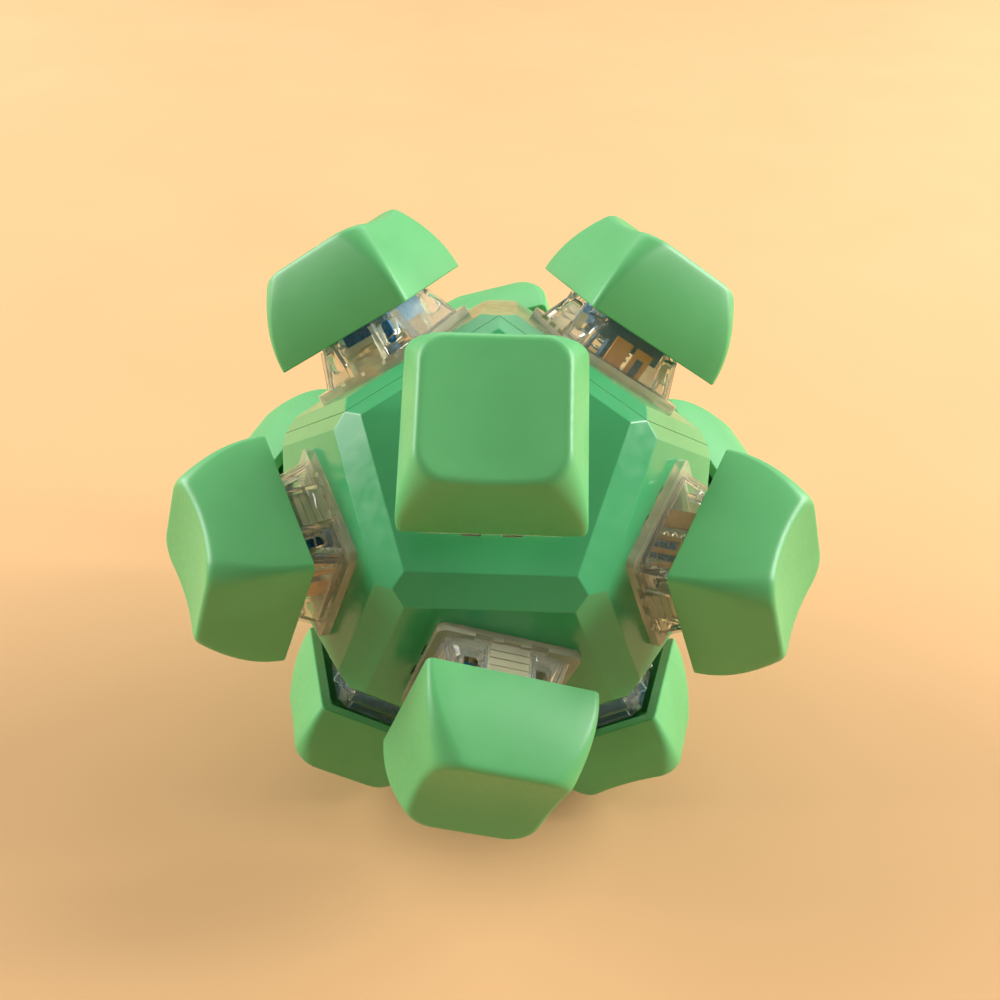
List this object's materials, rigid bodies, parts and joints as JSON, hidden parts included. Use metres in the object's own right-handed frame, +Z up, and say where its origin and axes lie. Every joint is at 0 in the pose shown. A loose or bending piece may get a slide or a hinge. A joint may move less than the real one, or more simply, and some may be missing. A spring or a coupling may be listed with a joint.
{
  "type": "push key fidget ball",
  "caption": "Dodecahedral hand toy with a spring-loaded push key in every face: a chamfered hollow shell in halves, clear switch housings, cross stems and sculpted keycaps.",
  "frame": {"origin": "the ball's centre, where the axes of all the keys meet", "axes": "+Z up with the ball standing on the tops of its lowest keycaps; -Y to the front, where one key's axis dips about 11 degrees below the horizon; +X to the right seen from the front"},
  "size_m": [0.073, 0.077, 0.0694],
  "materials": {
    "keycap": "fine satin moulded plastic, jade green",
    "shell": "glossy moulded plastic, jade green",
    "clear_housing": "clear moulded polycarbonate, faintly smoky",
    "stem": "smooth dark blue plastic",
    "spring_wire": "bright drawn steel wire",
    "contact_metal": "stamped copper alloy"
  },
  "bodies": {
    "root": {"front_shell": "shell", "back_shell": "shell", "lower_housings": "clear_housing", "fixed_contacts": "contact_metal", "moving_contacts": "contact_metal", "upper_housing_lower_front": "clear_housing", "upper_housing_crown_front": "clear_housing", "upper_housing_upper_left": "clear_housing", "upper_housing_base_left": "clear_housing", "upper_housing_base_right": "clear_housing", "upper_housing_upper_right": "clear_housing", "upper_housing_upper_back": "clear_housing", "upper_housing_base_back": "clear_housing", "upper_housing_lower_left": "clear_housing", "upper_housing_crown_left": "clear_housing", "upper_housing_crown_right": "clear_housing", "upper_housing_lower_right": "clear_housing", "spring_lower_front": "spring_wire", "spring_crown_front": "spring_wire", "spring_upper_left": "spring_wire", "spring_base_left": "spring_wire", "spring_base_right": "spring_wire", "spring_upper_right": "spring_wire", "spring_upper_back": "spring_wire", "spring_base_back": "spring_wire", "spring_lower_left": "spring_wire", "spring_crown_left": "spring_wire", "spring_crown_right": "spring_wire", "spring_lower_right": "spring_wire"},
    "key_lower_front": {"keycap_lower_front": "keycap", "stem_lower_front": "stem"},
    "key_crown_front": {"keycap_crown_front": "keycap", "stem_crown_front": "stem"},
    "key_upper_left": {"keycap_upper_left": "keycap", "stem_upper_left": "stem"},
    "key_base_left": {"keycap_base_left": "keycap", "stem_base_left": "stem"},
    "key_base_right": {"keycap_base_right": "keycap", "stem_base_right": "stem"},
    "key_upper_right": {"keycap_upper_right": "keycap", "stem_upper_right": "stem"},
    "key_upper_back": {"keycap_upper_back": "keycap", "stem_upper_back": "stem"},
    "key_base_back": {"keycap_base_back": "keycap", "stem_base_back": "stem"},
    "key_lower_left": {"keycap_lower_left": "keycap", "stem_lower_left": "stem"},
    "key_crown_left": {"keycap_crown_left": "keycap", "stem_crown_left": "stem"},
    "key_crown_right": {"keycap_crown_right": "keycap", "stem_crown_right": "stem"},
    "key_lower_right": {"keycap_lower_right": "keycap", "stem_lower_right": "stem"}
  },
  "joints": [
    {"name": "press_lower_front", "type": "slide", "parent": "root", "child": "key_lower_front", "axis": [0, 0.9822, 0.1876], "range_m": [0, 0.004], "stiffness_N_per_m": 80, "springref_m": -0.004, "deforming": ["spring_lower_front"]},
    {"name": "press_crown_front", "type": "slide", "parent": "root", "child": "key_crown_front", "axis": [0, 0.6071, -0.7947], "range_m": [0, 0.004], "stiffness_N_per_m": 80, "springref_m": -0.004, "deforming": ["spring_crown_front"]},
    {"name": "press_upper_left", "type": "slide", "parent": "root", "child": "key_upper_left", "axis": [0.8507, 0.4911, -0.1876], "range_m": [0, 0.004], "stiffness_N_per_m": 80, "springref_m": -0.004, "deforming": ["spring_upper_left"]},
    {"name": "press_base_left", "type": "slide", "parent": "root", "child": "key_base_left", "axis": [0.5257, 0.3035, 0.7947], "range_m": [0, 0.004], "stiffness_N_per_m": 80, "springref_m": -0.004, "deforming": ["spring_base_left"]},
    {"name": "press_base_right", "type": "slide", "parent": "root", "child": "key_base_right", "axis": [-0.5257, 0.3035, 0.7947], "range_m": [0, 0.004], "stiffness_N_per_m": 80, "springref_m": -0.004, "deforming": ["spring_base_right"]},
    {"name": "press_upper_right", "type": "slide", "parent": "root", "child": "key_upper_right", "axis": [-0.8507, 0.4911, -0.1876], "range_m": [0, 0.004], "stiffness_N_per_m": 80, "springref_m": -0.004, "deforming": ["spring_upper_right"]},
    {"name": "press_upper_back", "type": "slide", "parent": "root", "child": "key_upper_back", "axis": [0, -0.9822, -0.1876], "range_m": [0, 0.004], "stiffness_N_per_m": 80, "springref_m": -0.004, "deforming": ["spring_upper_back"]},
    {"name": "press_base_back", "type": "slide", "parent": "root", "child": "key_base_back", "axis": [0, -0.6071, 0.7947], "range_m": [0, 0.004], "stiffness_N_per_m": 80, "springref_m": -0.004, "deforming": ["spring_base_back"]},
    {"name": "press_lower_left", "type": "slide", "parent": "root", "child": "key_lower_left", "axis": [0.8507, -0.4911, 0.1876], "range_m": [0, 0.004], "stiffness_N_per_m": 80, "springref_m": -0.004, "deforming": ["spring_lower_left"]},
    {"name": "press_crown_left", "type": "slide", "parent": "root", "child": "key_crown_left", "axis": [0.5257, -0.3035, -0.7947], "range_m": [0, 0.004], "stiffness_N_per_m": 80, "springref_m": -0.004, "deforming": ["spring_crown_left"]},
    {"name": "press_crown_right", "type": "slide", "parent": "root", "child": "key_crown_right", "axis": [-0.5257, -0.3035, -0.7947], "range_m": [0, 0.004], "stiffness_N_per_m": 80, "springref_m": -0.004, "deforming": ["spring_crown_right"]},
    {"name": "press_lower_right", "type": "slide", "parent": "root", "child": "key_lower_right", "axis": [-0.8507, -0.4911, 0.1876], "range_m": [0, 0.004], "stiffness_N_per_m": 80, "springref_m": -0.004, "deforming": ["spring_lower_right"]}
  ]
}
